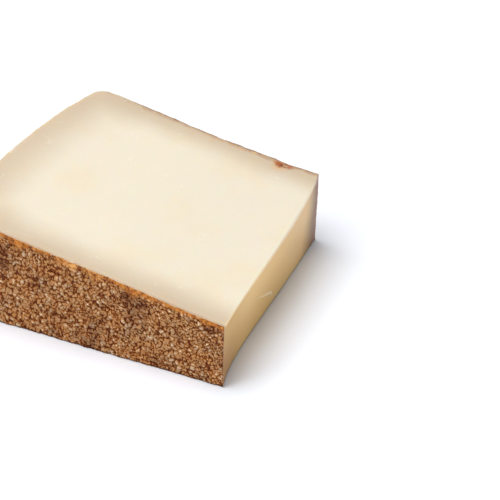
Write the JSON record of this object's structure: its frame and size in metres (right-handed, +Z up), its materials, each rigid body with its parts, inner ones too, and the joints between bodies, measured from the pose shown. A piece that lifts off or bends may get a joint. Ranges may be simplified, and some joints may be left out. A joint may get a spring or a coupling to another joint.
{
  "type": "gruyere wedge",
  "caption": "Block of hard mountain cheese cut from a wheel: a tapering wedge with pebbled brown rind on three sides, lying on a cut face.",
  "frame": {"origin": "middle of the footprint, on the cut face that the block lies on", "axes": "+X from the heel of the wheel towards its hub, +Y from the near flat rind to the far flat rind, +Z up"},
  "size_m": [0.1244, 0.112, 0.046],
  "materials": {
    "cheese": "satin"
  },
  "bodies": {
    "root": {"gruyere": "cheese"}
  },
  "joints": []
}
